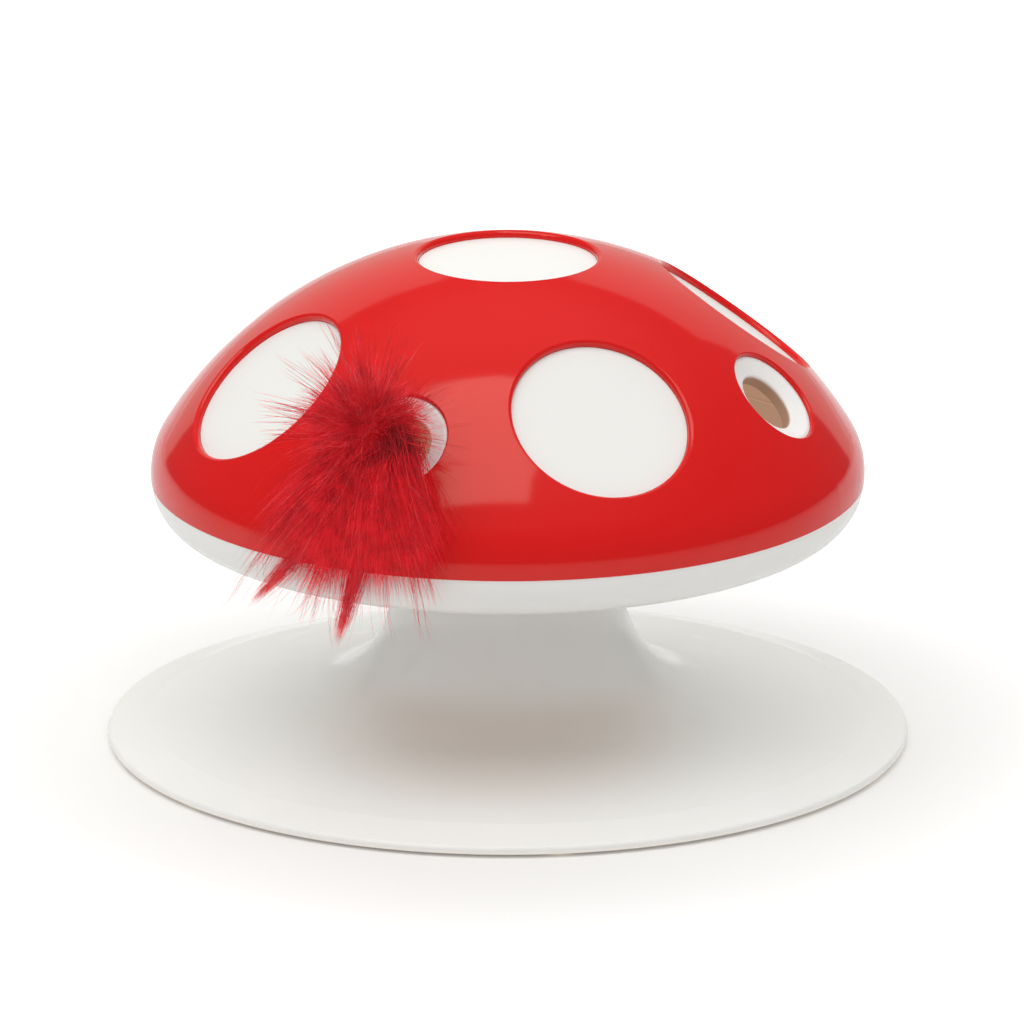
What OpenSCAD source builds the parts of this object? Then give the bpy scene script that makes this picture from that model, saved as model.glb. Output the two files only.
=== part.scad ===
// Battery-driven feather toy with a spotted cap on a flared stem and a wide base plate.
// A wand inside the cap pushes a feather plume out through one of four round holes,
// draws it back, and turns to the next hole.
// Millimetres, +Z up, origin on the floor under the centre of the base.

/* [Base and stem] */
// Radius of the base plate
base_r = 130; // [124:0.5:136]
// Radius of the stem where it meets the cap
stem_r = 37; // [35:0.5:40]
// Radius of the hollow flare between stem and plate
flare_r = 38; // [36:0.5:40]
// Height of the top of the stem
stem_top_z = 53; // [51:0.5:55]
// Width of the flat rim outside the step
rim_w = 14; // [11:0.5:17]
// Height of the plate at its step
plate_edge_z = 7.2; // [6.8:0.1:8]
// Height of the step
step_h = 1.3; // [0.8:0.1:1.8]
// Width of the slope down the step
step_w = 4.5; // [3.5:0.1:5.5]
// Thickness of the rounded outer edge
edge_t = 3; // [2.4:0.1:3.4]
// Wall thickness of the base
base_wall = 2.8; // [2.4:0.1:3.2]
// Height of the rubber feet
foot_h = 1; // [0.6:0.1:1.4]
// Radius of one rubber foot
foot_r = 5; // [4:0.5:6]
// Number of rubber feet
feet = 6; // [4:1:8]

/* [Cap] */
// Largest radius of the cap
cap_r = 115.5; // [113:0.5:118]
// Radius of the domed crown
crown_r = 131; // [128:0.5:136]
// Radius of the rounded shoulder
shoulder_r = 23.5; // [21:0.5:26]
// Height of the widest part of the cap
equator_z = 90; // [88:0.5:92]
// Height of the straight rim below the widest part
rim_h = 2.3; // [1.5:0.1:3]
// Wall thickness of the cap
cap_wall = 2.8; // [2.4:0.1:3.2]

/* [Spots] */
// Radius of a white spot
spot_r = 28.8; // [26:0.2:30]
// Thickness of a spot disc
spot_t = 2; // [1.6:0.1:2.4]
// Depth of a spot's face below the top of the crown
spot_sink = 5.8; // [5.6:0.1:6.4]
// Lean of each side spot from upright, in degrees
spot_tilt = [41.2, 36.5, 36.5, 42.2]; // [36:0.1:42.5]
// Turn of each side spot about the axis, in degrees from the front hole
spot_turn = [43.2, 126.5, 233.5, 318.2]; // [40:0.1:320]
// Radius of the rounded lip of a spot's pocket
spot_lip_r = 1.6; // [1.2:0.1:1.8]

/* [Feather holes] */
// Radius of the opening that the feather comes through
hole_r = 10.2; // [9:0.1:11]
// Outer radius of the white ring
ring_r = 16.5; // [16:0.1:17.5]
// Depth of the ring's outer edge below the top of the crown
ring_sink = 2.7; // [2.4:0.1:3.2]
// Lean of the holes from upright, in degrees
hole_tilt = 45.5; // [44:0.5:47]
// Radius of the rounded lip of a ring's pocket
ring_lip_r = 1; // [0.8:0.1:1.2]

/* [Lower shell] */
// Radius of the rounded edge under the seam
belly_r = 15; // [13:0.5:18]
// Wall thickness of the lower shell
shell_wall = 2.6; // [2.2:0.1:3]
// Height of the locating lip inside the cap's rim
lip_h = 3.4; // [2.4:0.1:3.8]

/* [Drive] */
// Height of the gear housing
housing_h = 14.4; // [13:0.2:18]
// Radius of the gear housing
housing_r = 27; // [26:0.5:30]
// Radius of the motor can
motor_r = 6; // [5:0.1:6.5]
// Length of the motor can
motor_l = 20; // [15:0.5:21]
// Radius of the bearing neck that the carrier turns on
neck_r = 9; // [8:0.1:9.5]
// Radius of the output shaft
shaft_r = 3; // [2.5:0.1:3.5]
// Size of the gear teeth
tooth_m = 1.25; // [1:0.05:1.3]
// Number of teeth on the feed pinion
pinion_teeth = 20; // [18:1:21]
// Length of the wand's stroke
stroke = 30; // [24:1:32]
// Height of the rack and the pinion
rack_h = 6; // [5:0.5:7]
// Distance along the hole's axis from the rack to the tip of the ferrule
wand_reach = 18.9; // [17:0.1:21]
// Radius of the wand's post
post_r = 3; // [2.4:0.1:3.4]

/* [Feather] */
// Half width of the plume at its widest
plume_w = 29; // [24:1:31]
// Thickness of the plume from its middle to its face
plume_t = 9; // [7:0.5:10]
// How far the plume hangs below the hole
plume_l = 44; // [36:1:46]
// Length of the longest tufts below the hem
tuft_l = 14; // [8:1:16]

/* [Batteries and switch] */
// Radius of a battery cell
cell_r = 7.25; // [7:0.05:7.4]
// Length of a battery cell
cell_l = 50.5; // [49:0.5:51]
// Wall thickness of the battery box
box_wall = 2; // [1.6:0.1:2.4]
// Travel of the switch knob
knob_travel = 4; // [3:0.5:5]

/* [Fits] */
// Radial running clearance of shafts
run_gap = 0.05; // [0.02:0.01:0.1]
// Gap between pieces that sit together
seat_gap = 0.1; // [0.05:0.01:0.15]
// Gap beside pieces that slide
slide_gap = 0.3; // [0.3:0.05:0.5]
// Radius of the assembly screws
screw_r = 1.5; // [1.2:0.1:1.7]

/* [Hidden] */
$fn = 128;

red = [0.85, 0.08, 0.09];
white = [0.95, 0.95, 0.93];
ivory = [0.88, 0.85, 0.76];
steel = [0.72, 0.73, 0.75];
brass = [0.80, 0.66, 0.34];
dark = [0.12, 0.12, 0.13];
green = [0.10, 0.36, 0.20];
crimson = [0.62, 0.04, 0.10];

// How far a cutting shape runs past what it cuts
cut = 1;
// How far two joined shapes run into each other
overlap = 4;
// How far a rounded part stands proud of the face it runs into, so that the two cross
blend = 0.03;
quarter = 90;
turns = [0 : 3];

// Cap: the crown and the shoulder are tangent arcs
shoulder_c = [cap_r - shoulder_r, equator_z];
crown_a = asin((cap_r - shoulder_r) / (crown_r - shoulder_r));
crown_z = equator_z - (crown_r - shoulder_r) * cos(crown_a);
seam_z = equator_z - rim_h;

// Spots and rings, measured out from the crown's centre
spot_face = crown_r - spot_sink;
spot_seat = spot_face - spot_t;
cup_floor = 2;
cup_wall = 2.4;
ring_face = crown_r - ring_sink;
ring_flange_t = 2.5;
ring_seat = ring_face - ring_flange_t;
ring_cup_floor = 3;
ring_neck = 3.5;
ring_inner = ring_seat - ring_neck;
ring_wall = 2.8;
ring_drop = 1.6;
ring_throat_r = 1.3;
ring_land = 1;
// How far the lip of a pocket stands off the crown, so that the two cross
lip_proud = 0.08;

// Lower shell: a cone from the stem, tangent to the rounded edge under the seam
seam_step = 0.3;
stem_step = 0.5;
belly_c = [cap_r - seam_step - belly_r, seam_z];
shell_foot = [stem_r + stem_step, stem_top_z];
belly_to_foot = shell_foot - belly_c;
belly_a = atan2(belly_to_foot[1], belly_to_foot[0]) + acos(belly_r / norm(belly_to_foot));
shell_slope = belly_a + quarter;
floor_z = stem_top_z + shell_wall;
lip_gap = 0.25;
lip_ro = cap_r - cap_wall - lip_gap;
lip_t = 2.2;
lip_root_t = 1;
lip_root = 4;
lead_hole_r = 7;

// Screw posts that join the cap and the lower shell
post_turn = 22.5;
post_place_r = 97;
post_out_r = 4.5;
cap_screw_l = 22;
cap_screw_sink = 9;
cap_head_z = seam_z - cap_screw_sink;
// Free depth past the tip of a screw in its hole
tip_gap = 2;
// Screw head's radius and height, as shares of the shank's radius
head_wide = 1.9;
head_high = 1.5;
head_r = head_wide * screw_r;

// Base: the plate is a cone from the step, tangent to the flare
step_r = base_r - rim_w;
flare_c = [stem_r + flare_r, stem_top_z];
flare_to_step = [step_r, plate_edge_z] - flare_c;
flare_a = atan2(flare_to_step[1], flare_to_step[0]) - acos(flare_r / norm(flare_to_step));
plate_a = -quarter - flare_a;
edge_c = [base_r - edge_t / 2, foot_h + edge_t / 2];
stem_flange_t = 3.5;
stem_flange_r = 14;
rib_t = 2;
rib_in_r = 66;
rib_turn = 22.5;
ribs = 8;
foot_inset = 8;
foot_place_r = base_r - foot_inset;
stem_screw_place_r = 22;
stem_screw_turn = 45;
stem_screw_l = 17;
stem_head_z = stem_top_z - stem_flange_t;

// Battery box on the underside
cells = 3;
cell_side_gap = 0.5;
cell_end_gap = 3.7;
cell_floor_gap = 0.9;
cell_top_gap = 0.6;
cell_pitch = 2 * cell_r + cell_side_gap;
box_side_gap = 1;
box_in = [cell_l + 2 * cell_end_gap, cells * cell_pitch + 2 * box_side_gap];
box_out = [box_in[0] + 2 * box_wall, box_in[1] + 2 * box_wall];
flange_sink = 4;
flange_z = foot_h + flange_sink;
flange_t = 2;
cell_z = flange_z + cell_r + cell_floor_gap;
box_in_top = cell_z + cell_r + cell_top_gap;
box_top = box_in_top + box_wall;
door_t = 2;
door_z = flange_z - slide_gap - door_t;
door_over = [2, 1];
door_size = box_out + door_over;
guide_t = 2;
guide_lip_t = 0.8;
guide_lip_w = 2.2;
guide_lip_z = door_z - slide_gap - guide_lip_t;
guide_y = door_size[1] / 2 + slide_gap;
box_boss_r = 4;
box_screw_place = [box_out[0] / 2 + 3, guide_y + guide_t + box_boss_r];
box_screw_l = 12;
flange_rim = [4.5, 4.5];
flange_size = 2 * (box_screw_place + flange_rim);
contact_t = 0.5;
contact_w = 11;
contact_gap = 0.1;
contact_r = 3;

// Switch beside the battery box
switch_off = 10;
switch_x = -flange_size[0] / 2 - switch_off;
switch_size = [14, 8, 6];
switch_plate = [26, 20];
knob_stem = [3.6, 2.6];
knob_slot = knob_stem + [knob_travel + 2 * slide_gap, 2 * slide_gap];
knob_tab = [7, 6, 2];

// Control board above the battery box
board_size = [44, 30, 1.6];
board_lift = 8;
board_z = box_top + board_lift;
board_post_x = 17;
board_post_r = 3;
board_screw_r = 1.1;

// Wand: its post lies on the axis of the feather hole
ferrule_drop = 9.8;
ferrule_tip_d = ring_inner - ferrule_drop;
ferrule_l = 11;
ferrule_wall = 1.2;
quill_gap = 0.05;
quill_r = post_r - quill_gap;
quill_depth = 6;
post_end_d = ferrule_tip_d - quill_depth - 1;
post_d = ferrule_tip_d - wand_reach;
post_y = dome_point(post_d)[1];
rack_mid_z = dome_point(post_d)[2];
block_l = 11;
block_x = -6;

// Drive, stacked down from the rack to the seat that the carrier turns on
rack_z = rack_mid_z - rack_h / 2;
cover_gap = 0.5;
cover_z = rack_z + rack_h + cover_gap;
cover_t = 2;
rail_top = rack_z - slide_gap;
rail_gap = 1;
neck_top = rail_top - rail_gap;
neck_tip = 0.2;
clip_t = 1;
clip_w = 3;
clip_z = neck_top - neck_tip - clip_t;
hub_top = clip_z - slide_gap;
hub_head = 2.7;
hub_r = 14;
plate_t = 3;
plate_z = hub_top - hub_head - plate_t;
hub_foot = 1.5;
hub_z = plate_z - hub_foot;
washer_t = 1;
washer_r = 15;
seat_z = hub_z - washer_t;
seat_t = 4;
seat_r = 25;
pedestal_r = 17;
shaft_depth = 15;
shaft_z = seat_z - shaft_depth;
shaft_tip = 1.2;
shaft_top = cover_z + cover_t + shaft_tip;

// Gear housing on the floor of the lower shell, with the motor in a socket on its side
housing_top = floor_z + housing_h;
motor_lift = 9;
motor_z = floor_z + motor_lift;
motor_inset = 3;
motor_x = -(housing_r - motor_inset);
motor_boss_r = 3;
motor_boss_h = 1.4;
socket_l = 4;
socket_wall = 1.6;

// Feed pinion and rack
pitch_r = tooth_m * pinion_teeth / 2;
pressure_a = 20;
gear_base_r = pitch_r * cos(pressure_a);
gear_tip_r = pitch_r + tooth_m;
tooth_root = 1.25 * tooth_m;
gear_root_r = pitch_r - tooth_root;
tooth_half_a = quarter / pinion_teeth;
backlash_a = 0.3;
flank_steps = 5;
rack_pitch = PI * tooth_m;
rack_backlash = 0.1;
rack_root_x = pitch_r + tooth_root;
rack_back_t = 5;
rack_back_x = rack_root_x + rack_back_t;
rack_tail_y = 10;
rack_spare = 4;
rack_first = 1.5;
rack_teeth = floor(stroke / rack_pitch + rack_spare);

// Carrier that turns round the neck and guides the rack
rail_front_gap = 3;
rail_back_gap = 4;
rail_front_y = post_y + block_l / 2 + stroke + rail_front_gap;
rail_back_y = stroke + rack_tail_y + rail_back_gap;
fence_in_x = pitch_r - tooth_m - slide_gap;
fence_out_x = rack_back_x + slide_gap;
fence_w = 5;
rail_z = plate_z + plate_t / 2;
fence_gap_y = 1;
fence_clear_y = gear_tip_r + fence_gap_y;
plate_r = 27;
cover_left_x = -7;
cover_screw_r = 1;
cover_screw_l = 7;
cover_screw_in = 2.8;

// Detent between the carrier and the gear housing
detent_place_r = 21;
detent_turn = 135;
detent_ball_r = 1.6;
detent_gap = 0.4;
detent_sink = 1;
detent_leaf = [5, 22];
detent_leaf_t = 0.6;
detent_window = [7, 12];

// Plume: a drooping line out of the front hole, from the ferrule to the hem
plume_sides = 24;
plume_mouth = dome_point(ring_face);
plume_clear = 6;
plume_out = 29.8;
plume_hang_y = min(-(cap_r + plume_clear), plume_mouth[1] - plume_out);
plume_rise = 10;
plume_bow = 7.5;
plume_lean = 6;
plume_line = [
    dome_point(ferrule_tip_d - quill_depth + quill_gap),
    dome_point(ferrule_tip_d + 1),
    dome_point(ring_inner + 2),
    plume_mouth,
    plume_mouth + [0, -0.2 * plume_out, plume_rise],
    plume_mouth + [0, -0.45 * plume_out, 0.8 * plume_rise],
    plume_mouth + [0, -0.68 * plume_out, 0.2 * plume_rise],
    plume_hang(0.16),
    plume_hang(0.4),
    plume_hang(0.63),
    plume_hang(0.84),
    plume_hang(1)
];
// Half width and half thickness at each point of the line
plume_half = [
    [quill_r, quill_r],
    [quill_r, quill_r],
    [5, 5],
    [6.5, 6.5],
    [13, plume_t],
    [0.75 * plume_w, plume_t + 3],
    [0.9 * plume_w, plume_t + 1.5],
    [0.97 * plume_w, plume_t],
    [plume_w, plume_t - 2],
    [0.97 * plume_w, plume_t - 3.5],
    [0.9 * plume_w, plume_t - 5],
    [0.85 * plume_w, 1.2]
];
plume_rows = len(plume_line);
plume_frill = 0.10;

// Point on a circle in a profile
function polar(c, r, a) = [c[0] + r * cos(a), c[1] + r * sin(a)];
// Point on the axis of the front hole, at a distance from the crown's centre
function dome_point(d) = [0, -d * sin(hole_tilt), crown_z + d * cos(hole_tilt)];
// Distance out from the crown's centre to the rim of a round cut of radius r
function dome_rim(r) = sqrt(crown_r * crown_r - r * r);
// Point on the hanging part of the plume's line, at a share of its length
function plume_hang(t) =
    [-plume_lean * t, plume_hang_y + plume_bow * pow(1 - t, 3), plume_mouth[2] - plume_l * t];
function unit(v) = v / norm(v);
// Involute angle in degrees
function involute(a) = tan(a) * 180 / PI - a;
// Half the angle that a pinion tooth fills at radius r
function tooth_a(r) = tooth_half_a - backlash_a + involute(pressure_a)
    - involute(acos(min(1, gear_base_r / r)));

// Slice of a disc between two angles, for profiles made of arcs
module sector(c, r, a0, a1) {
    intersection() {
        translate(c) circle(r);
        polygon([c, polar(c, 2 * r, a0), polar(c, 2 * r, (a0 + a1) / 2), polar(c, 2 * r, a1)]);
    }
}

// Stands children on the crown, leaning out by tilt at a turn about the axis
module on_dome(tilt, turn) {
    translate([0, 0, crown_z]) rotate([0, 0, turn]) rotate([tilt, 0, 0]) children();
}

module spot_places() {
    on_dome(0, 0) children();
    for (i = turns) on_dome(spot_tilt[i], spot_turn[i]) children();
}

module hole_places() {
    for (i = turns) on_dome(hole_tilt, quarter * i) children();
}

module post_places() {
    for (i = turns) rotate([0, 0, post_turn + quarter * i]) translate([post_place_r, 0, 0]) children();
}

module stem_screw_places() {
    for (i = turns) rotate([0, 0, stem_screw_turn + quarter * i])
        translate([stem_screw_place_r, 0, 0]) children();
}

module box_screw_places() {
    for (x = [-1, 1], y = [-1, 1])
        translate([x * box_screw_place[0], y * box_screw_place[1], 0]) children();
}

// Screw standing on its head at z = 0, shank up
module screw(r, l) {
    translate([0, 0, -head_high * r]) cylinder(h = head_high * r, r = head_wide * r);
    cylinder(h = l, r = r);
}

// Cap

// Solid dome, inset by a wall and run down past the seam
module dome(inset, below) {
    low = seam_z - below;
    crown = crown_r - inset;
    join_z = crown_z + crown * cos(crown_a);
    intersection() {
        translate([0, 0, crown_z]) sphere(crown);
        translate([0, 0, join_z]) cylinder(h = crown, r = crown);
    }
    rotate_extrude() intersection() {
        translate(shoulder_c + blend * [sin(crown_a), cos(crown_a)]) circle(shoulder_r - inset);
        translate([0, low]) square(crown);
    }
    translate([0, 0, low]) cylinder(h = join_z + overlap - low, r = shoulder_c[0]);
    translate([0, 0, low]) cylinder(h = equator_z - low, r = cap_r - inset - blend);
}

module cap_shell() {
    color(red) difference() {
        dome(0, 0);
        difference() {
            dome(cap_wall, cut);
            spot_places() cup(spot_r, spot_seat - cup_floor);
            hole_places() cup(ring_r, ring_seat - ring_cup_floor);
            post_places() translate([0, 0, seam_z]) cylinder(h = crown_r, r = post_out_r);
        }
        spot_places() spot_pocket();
        hole_places() ring_pocket();
        post_places() translate([0, 0, seam_z - cut])
            cylinder(h = cap_head_z + cap_screw_l + tip_gap - seam_z + cut, r = screw_r + seat_gap);
    }
}

// Cup behind a pocket of radius r, from height z up into the wall of the crown
module cup(r, z) {
    translate([0, 0, z]) cylinder(h = dome_rim(r + cup_wall) - cap_wall / 3 - z, r = r + cup_wall);
}

// Round pocket of radius r, from height z out through the crown, with a rounded lip
module pocket(r, z, lip) {
    lip_c = [r + lip, sqrt(pow(crown_r - lip + lip_proud, 2) - pow(r + lip, 2))];
    rotate_extrude() difference() {
        polygon([[0, z], [r, z], [r, lip_c[1]], lip_c, [lip_c[0], crown_r + cut], [0, crown_r + cut]]);
        translate(lip_c) circle(lip);
    }
}

module spot_pocket() {
    pocket(spot_r + seat_gap, spot_seat, spot_lip_r);
}

module ring_pocket() {
    pocket(ring_r + seat_gap, ring_seat, ring_lip_r);
    translate([0, 0, ring_seat - ring_cup_floor - cut])
        cylinder(h = ring_cup_floor + 2 * cut, r = hole_r + ring_wall + seat_gap);
}

module spot_disc(tilt, turn) {
    color(white) on_dome(tilt, turn) translate([0, 0, spot_seat]) cylinder(h = spot_t, r = spot_r);
}

module top_spot() {
    spot_disc(0, 0);
}

module side_spot(i) {
    spot_disc(spot_tilt[i], spot_turn[i]);
}

// Flanged funnel pressed into a feather hole
module hole_ring(i) {
    bore_top = ring_face - ring_drop;
    color(white) on_dome(hole_tilt, quarter * i) rotate_extrude() difference() {
        polygon([
            [hole_r, ring_inner], [hole_r + ring_wall, ring_inner], [hole_r + ring_wall, ring_seat],
            [ring_r, ring_seat], [ring_r, ring_face], [ring_r - ring_land, ring_face],
            [hole_r + ring_throat_r, bore_top], [hole_r, bore_top]
        ]);
        difference() {
            translate([hole_r - cut, bore_top - ring_throat_r])
                square([ring_throat_r + cut, ring_throat_r + cut]);
            translate([hole_r + ring_throat_r, bore_top - ring_throat_r]) circle(ring_throat_r);
        }
    }
}

// Lower shell

// Solid bowl, inset by a wall and run up past the seam
module bowl(inset, above) {
    r = belly_r - inset;
    high = seam_z + above;
    touch = polar(belly_c, r - blend, belly_a);
    floor_h = stem_top_z + inset;
    foot_x = touch[0] - (touch[1] - floor_h) / tan(shell_slope);
    rotate_extrude() intersection() {
        translate(belly_c) circle(r);
        square([cap_r, high]);
    }
    rotate_extrude() polygon([[0, floor_h], [foot_x, floor_h], touch, [belly_c[0], high], [0, high]]);
}

module lower_shell() {
    color(white) difference() {
        union() {
            difference() {
                bowl(0, 0);
                difference() {
                    bowl(shell_wall, cut);
                    post_places() translate([0, 0, stem_top_z])
                        cylinder(h = seam_z - stem_top_z, r = post_out_r);
                }
            }
            rotate_extrude() polygon([
                [lip_ro - lip_t, seam_z - lip_root], [lip_ro + lip_root_t, seam_z - lip_root],
                [lip_ro + lip_root_t, seam_z],
                [lip_ro, seam_z], [lip_ro, seam_z + lip_h], [lip_ro - lip_t, seam_z + lip_h]
            ]);
        }
        post_places() translate([0, 0, stem_top_z]) {
            cylinder(h = crown_r, r = screw_r + seat_gap);
            cylinder(h = cap_head_z - stem_top_z, r = head_r + seat_gap);
        }
        stem_screw_places() translate([0, 0, stem_top_z - cut])
            cylinder(h = shell_wall + 2 * cut, r = screw_r + seat_gap);
        translate([0, 0, stem_top_z - cut]) cylinder(h = shell_wall + 2 * cut, r = lead_hole_r);
    }
}

module cap_screws() {
    color(steel) post_places() translate([0, 0, cap_head_z]) screw(screw_r, cap_screw_l);
}

// Base and stem

// Solid stem, flare and plate, inset by a wall
module stem_and_plate(inset) {
    r = flare_r + inset;
    touch = polar(flare_c, r, flare_a);
    edge_z = plate_edge_z - inset / cos(plate_a) + blend;
    inner_x = touch[0] - overlap;
    rotate_extrude() difference() {
        translate([0, foot_h]) square([touch[0], stem_top_z - foot_h]);
        translate(flare_c) circle(r);
    }
    rotate_extrude() polygon([
        [inner_x, foot_h], [inner_x, edge_z + (step_r - inner_x) * tan(plate_a)],
        [step_r, edge_z], [step_r, foot_h]
    ]);
}

// Flat rim outside the step, with a rounded edge
module plate_rim() {
    rotate_extrude() polygon([
        [step_r - cut, foot_h], [step_r - cut, plate_edge_z], [step_r, plate_edge_z],
        [step_r + step_w, plate_edge_z - step_h], [edge_c[0], foot_h + edge_t], [edge_c[0], foot_h]
    ]);
    rotate_extrude() sector(edge_c, edge_t / 2, -quarter, quarter);
}

module stem_base() {
    color(white) difference() {
        union() {
            stem_and_plate(0);
            plate_rim();
        }
        difference() {
            union() {
                intersection() {
                    stem_and_plate(base_wall);
                    cylinder(h = stem_top_z - stem_flange_t, r = step_r - base_wall);
                }
                translate([0, 0, foot_h - cut]) cylinder(h = 2 * cut, r = step_r - base_wall);
            }
            box_screw_places() translate([0, 0, flange_z + flange_t])
                cylinder(h = stem_top_z, r = box_boss_r);
            plate_ribs();
        }
        translate([0, 0, stem_top_z - stem_flange_t - cut])
            cylinder(h = stem_flange_t + 2 * cut, r = stem_flange_r);
        stem_screw_places() translate([0, 0, stem_top_z - stem_flange_t - cut])
            cylinder(h = stem_flange_t + 2 * cut, r = screw_r + seat_gap);
        box_screw_places() translate([0, 0, flange_z])
            cylinder(h = box_screw_l + 1, r = screw_r + seat_gap);
    }
}

// Stiffening ribs under the plate, clear of the battery door's way out
module plate_ribs() {
    for (i = [0 : ribs - 1]) rotate([0, 0, rib_turn + 360 * i / ribs])
        translate([rib_in_r, -rib_t / 2, flange_z + slide_gap])
            cube([step_r - rib_in_r, rib_t, stem_top_z]);
}

module stem_screws() {
    color(steel) stem_screw_places() translate([0, 0, stem_head_z]) screw(screw_r, stem_screw_l);
}

module rubber_feet() {
    color(dark) for (i = [0 : feet - 1])
        rotate([0, 0, 360 * i / feet]) translate([foot_place_r, 0, 0]) cylinder(h = foot_h, r = foot_r);
}

// Batteries, switch and board

module box_block(size, z, h) {
    translate([-size[0] / 2, -size[1] / 2, z]) cube([size[0], size[1], h]);
}

module battery_box() {
    color(ivory) difference() {
        union() {
            box_block(box_out, flange_z, box_top - flange_z);
            box_block(flange_size, flange_z, flange_t);
            translate([switch_x - switch_plate[0] / 2, -switch_plate[1] / 2, flange_z])
                cube([switch_plate[0], switch_plate[1], flange_t]);
            for (y = [-1, 1]) door_guide(y);
            for (x = [-1, 1]) translate([x * board_post_x, 0, box_top - box_wall / 2])
                cylinder(h = board_lift + box_wall / 2, r = board_post_r);
        }
        box_block(box_in, flange_z - cut, box_in_top - flange_z + cut);
        box_screw_places() translate([0, 0, flange_z - cut])
            cylinder(h = flange_t + 2 * cut, r = screw_r + seat_gap);
        translate([switch_x - knob_stem[0] / 2 - slide_gap, -knob_slot[1] / 2, flange_z - cut])
            cube([knob_slot[0], knob_slot[1], flange_t + 2 * cut]);
        for (x = [-1, 1]) translate([x * board_post_x, 0, box_top])
            cylinder(h = board_lift + cut, r = board_screw_r + seat_gap);
    }
}

// Rail along one long side of the box that the door slides in
module door_guide(side) {
    mirror([0, side < 0 ? 1 : 0, 0]) {
        translate([-door_size[0] / 2, guide_y, guide_lip_z])
            cube([door_size[0], guide_t, flange_z - guide_lip_z + flange_t / 2]);
        translate([-door_size[0] / 2, guide_y - guide_lip_w, guide_lip_z])
            cube([door_size[0], guide_lip_w + guide_t, guide_lip_t]);
    }
}

module box_screws() {
    color(steel) box_screw_places() translate([0, 0, flange_z]) screw(screw_r, box_screw_l);
}

module cell_places() {
    for (i = [0 : cells - 1])
        translate([0, (i - (cells - 1) / 2) * cell_pitch, cell_z])
            rotate([0, 0, 180 * (i % 2)]) children();
}

module battery_cells() {
    nub_r = 2.7;
    nub_h = 1;
    color(dark) cell_places() rotate([0, quarter, 0]) {
        translate([0, 0, -cell_l / 2]) cylinder(h = cell_l - nub_h, r = cell_r);
        cylinder(h = cell_l / 2, r = nub_r);
    }
}

// Sheet contacts at both ends of the cells, each with a pressed dome
module contact_plates() {
    wall_x = box_in[0] / 2;
    dome_l = wall_x - contact_t - cell_l / 2 - contact_gap;
    color(brass) cell_places() for (side = [0, 180]) rotate([0, 0, side]) {
        translate([wall_x - contact_t, -contact_w / 2, -contact_w / 2])
            cube([contact_t, contact_w, contact_w]);
        translate([wall_x - contact_t, 0, 0]) rotate([0, -quarter, 0])
            cylinder(h = dome_l, r1 = contact_r, r2 = contact_r / 2);
    }
}

// Sliding door under the cells, with three grip ribs
module battery_door() {
    rib_w = 1.2;
    rib_l = 16;
    rib_h = 0.6;
    rib_pitch = 3;
    rib_inset = 12;
    rib_x = door_size[0] / 2 - rib_inset;
    color(ivory) {
        box_block(door_size, door_z, door_t);
        for (i = [0 : 2]) translate([rib_x + rib_pitch * i, -rib_l / 2, door_z - rib_h])
            cube([rib_w, rib_l, rib_h + door_t / 2]);
    }
}

module switch_body() {
    middle_x = switch_x + knob_travel / 2;
    color(dark) translate([middle_x - switch_size[0] / 2, -switch_size[1] / 2, flange_z + flange_t])
        cube(switch_size);
}

module switch_knob() {
    tab_z = flange_z - slide_gap - knob_tab[2];
    color(red) {
        translate([switch_x - knob_tab[0] / 2, -knob_tab[1] / 2, tab_z]) cube(knob_tab);
        translate([switch_x - knob_stem[0] / 2, -knob_stem[1] / 2, tab_z])
            cube([knob_stem[0], knob_stem[1], flange_z + flange_t - slide_gap - tab_z]);
    }
}

module control_board() {
    chip = [9, 6, 1.5];
    capacitor_r = 3;
    capacitor_h = 8;
    capacitor_y = -8;
    chip_y = 3;
    color(green) difference() {
        union() {
            box_block(board_size, board_z, board_size[2]);
            translate([-chip[0] / 2, chip_y, board_z + board_size[2]]) cube(chip);
            translate([0, capacitor_y, board_z + board_size[2]]) cylinder(h = capacitor_h, r = capacitor_r);
        }
        for (x = [-1, 1]) translate([x * board_post_x, 0, board_z - cut])
            cylinder(h = board_size[2] + 2 * cut, r = board_screw_r + seat_gap);
    }
}

module board_screws() {
    color(steel) for (x = [-1, 1]) translate([x * board_post_x, 0, board_z + board_size[2]])
        mirror([0, 0, 1]) screw(board_screw_r, board_size[2] + board_lift - tip_gap);
}

// Drive

module gear_housing() {
    color(ivory) difference() {
        union() {
            translate([0, 0, floor_z]) cylinder(h = housing_h, r = housing_r);
            translate([0, 0, housing_top - cut]) cylinder(h = seat_z - housing_top + cut, r = pedestal_r);
            translate([0, 0, seat_z - seat_t]) cylinder(h = seat_t, r = seat_r);
            translate([0, 0, seat_z - cut]) cylinder(h = neck_top - seat_z + cut, r = neck_r);
            along_motor() cylinder(h = motor_inset + socket_l, r = motor_r + socket_wall);
        }
        along_motor() cylinder(h = motor_l, r = motor_r + seat_gap);
        translate([0, 0, shaft_z - cut]) cylinder(h = crown_r, r = shaft_r + run_gap);
        stem_screw_places() translate([0, 0, floor_z - cut])
            cylinder(h = stem_head_z + stem_screw_l + tip_gap - floor_z + cut, r = screw_r + seat_gap);
        for (i = turns) detent_place(detent_turn + quarter * i) sphere(detent_ball_r + detent_gap);
    }
}

// Lays children along the motor, from its front face in the socket outwards
module along_motor() {
    translate([motor_x, 0, motor_z]) rotate([0, -quarter, 0]) children();
}

// Stands children at the detent ball's centre, just above the seat
module detent_place(turn) {
    rotate([0, 0, turn]) translate([detent_place_r, 0, seat_z + detent_ball_r - detent_sink]) children();
}

module motor_can() {
    color(steel) along_motor() {
        cylinder(h = motor_l, r = motor_r);
        cylinder(h = motor_l + motor_boss_h, r = motor_boss_r);
    }
}

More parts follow.
